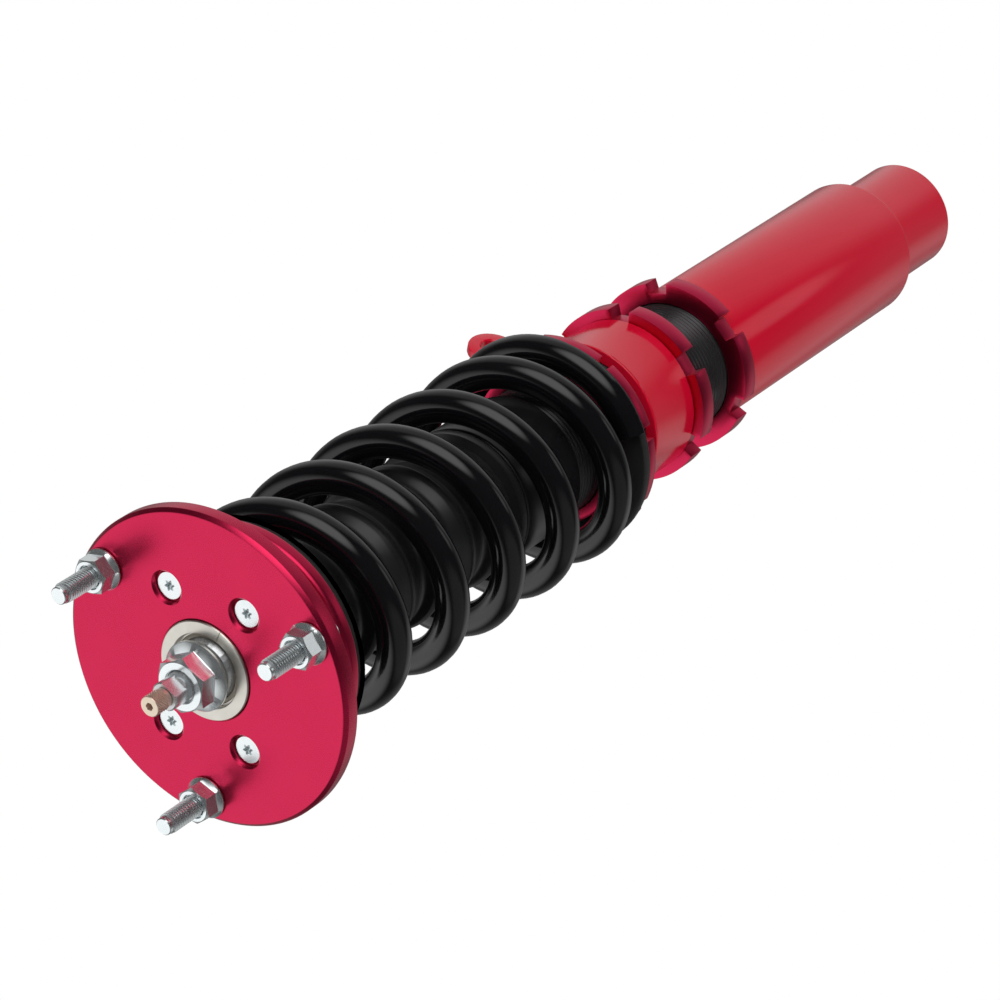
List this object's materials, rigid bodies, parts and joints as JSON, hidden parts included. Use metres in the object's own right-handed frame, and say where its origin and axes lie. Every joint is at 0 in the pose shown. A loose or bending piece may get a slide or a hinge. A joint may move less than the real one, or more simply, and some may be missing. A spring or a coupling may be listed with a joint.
{
  "type": "coilover strut",
  "caption": "Adjustable coilover strut with round stud top mount, helical spring, notched perch and lock rings, link collar and plain lower tube.",
  "frame": {"origin": "centre of the lower tube's bottom end face", "axes": "+Z along the strut axis from the lower end to the top mount; one top stud stands on the +Y side"},
  "size_m": [0.1224, 0.1238, 0.5297],
  "materials": {
    "painted_red": "gloss",
    "anodised_red": "satin",
    "black_steel": "satin",
    "gloss_black": "gloss",
    "rubber": "matt",
    "zinc": "satin",
    "nickel": "satin",
    "steel": "polished",
    "bronze": "satin",
    "polymer": "matt"
  },
  "bodies": {
    "lower_end": {"lower_tube": "painted_red", "lower_end_cap": "black_steel"},
    "lower_ring": {"lower_lock_ring": "anodised_red"},
    "body": {"damper_body": "black_steel", "body_end_cap": "black_steel", "rod_guide": "bronze", "rod_seal": "rubber", "gland_nut": "black_steel", "boot_cuff": "rubber"},
    "gas_piston": {"floating_piston": "polymer"},
    "collar": {"link_collar": "painted_red"},
    "upper_ring": {"upper_lock_ring": "anodised_red"},
    "pad": {"spring_pad": "rubber"},
    "perch": {"spring_perch": "anodised_red"},
    "rod": {"piston_rod": "steel", "piston_nut": "steel", "piston": "steel", "piston_band": "polymer", "shim_stack": "steel", "bump_stop": "polymer", "upper_spring_seat": "anodised_red", "upper_isolator": "rubber", "coil_spring": "gloss_black", "dust_boot": "rubber", "lower_spacer": "zinc", "upper_spacer": "zinc", "rod_nut": "zinc", "pillow_ball": "steel"},
    "needle": {"adjuster_needle": "bronze"},
    "knob": {"adjuster_knob": "bronze"},
    "liner": {"bearing_liner": "polymer"},
    "mount": {"bearing_race": "nickel", "bearing_retainer": "nickel", "top_plate": "anodised_red", "bearing_housing": "black_steel", "plate_screw_1": "zinc", "plate_screw_2": "zinc", "plate_screw_3": "zinc", "plate_screw_4": "zinc", "stud_1": "zinc", "stud_2": "zinc", "stud_3": "zinc", "stud_nut_1": "zinc", "stud_nut_2": "zinc", "stud_nut_3": "zinc"}
  },
  "joints": [
    {"name": "lower_ring_turn", "type": "hinge", "parent": "lower_end", "child": "lower_ring", "pos_m": [0, 0, 0.1876], "axis": [0, 0, 1], "range_deg": [-1800, 3600]},
    {"name": "ride_height", "type": "slide", "parent": "lower_end", "child": "body", "axis": [0, 0, 1], "range_m": [-0.01, 0.02]},
    {"name": "gas_piston_slide", "type": "slide", "parent": "body", "child": "gas_piston", "axis": [0, 0, 1], "range_m": [-0.0125, 0.0005]},
    {"name": "collar_height", "type": "slide", "parent": "body", "child": "collar", "axis": [0, 0, 1], "range_m": [-0.01, 0.006]},
    {"name": "upper_ring_turn", "type": "hinge", "parent": "collar", "child": "upper_ring", "pos_m": [0, 0, 0.2208], "axis": [0, 0, 1], "range_deg": [-1800, 1080]},
    {"name": "preload_height", "type": "slide", "parent": "body", "child": "pad", "axis": [0, 0, 1], "range_m": [-0.004, 0]},
    {"name": "perch_turn", "type": "hinge", "parent": "pad", "child": "perch", "pos_m": [0, 0, 0.2722], "axis": [0, 0, 1], "range_deg": [-720, 0]},
    {"name": "strut_travel", "type": "slide", "parent": "body", "child": "rod", "axis": [0, 0, -1], "range_m": [0, 0.06], "stiffness_N_per_m": 98000, "springref_m": -0.002, "deforming": ["coil_spring", "dust_boot"]},
    {"name": "needle_lift", "type": "slide", "parent": "rod", "child": "needle", "axis": [0, 0, 1], "range_m": [-0.00135, 0.00045]},
    {"name": "damping_adjust", "type": "hinge", "parent": "rod", "child": "knob", "pos_m": [0, 0, 0.524], "axis": [0, 0, 1], "range_deg": [-270, 810]},
    {"name": "mount_swivel", "type": "hinge", "parent": "rod", "child": "liner", "pos_m": [0, 0, 0.4905], "axis": [0, 0, 1], "continuous": true},
    {"name": "mount_tilt", "type": "hinge", "parent": "liner", "child": "mount", "pos_m": [0, 0, 0.4905], "axis": [1, 0, 0], "range_deg": [-3, 3], "stiffness_Nm_per_rad": 40}
  ],
  "couplings": [
    {"joint": "lower_ring_turn", "follows": "ride_height", "rad_per_m": 3141.6},
    {"joint": "upper_ring_turn", "follows": "collar_height", "rad_per_m": 3141.6},
    {"joint": "perch_turn", "follows": "preload_height", "rad_per_m": 3141.6},
    {"joint": "gas_piston_slide", "follows": "strut_travel", "ratio": -0.2},
    {"joint": "damping_adjust", "follows": "needle_lift", "rad_per_m": -10472}
  ]
}
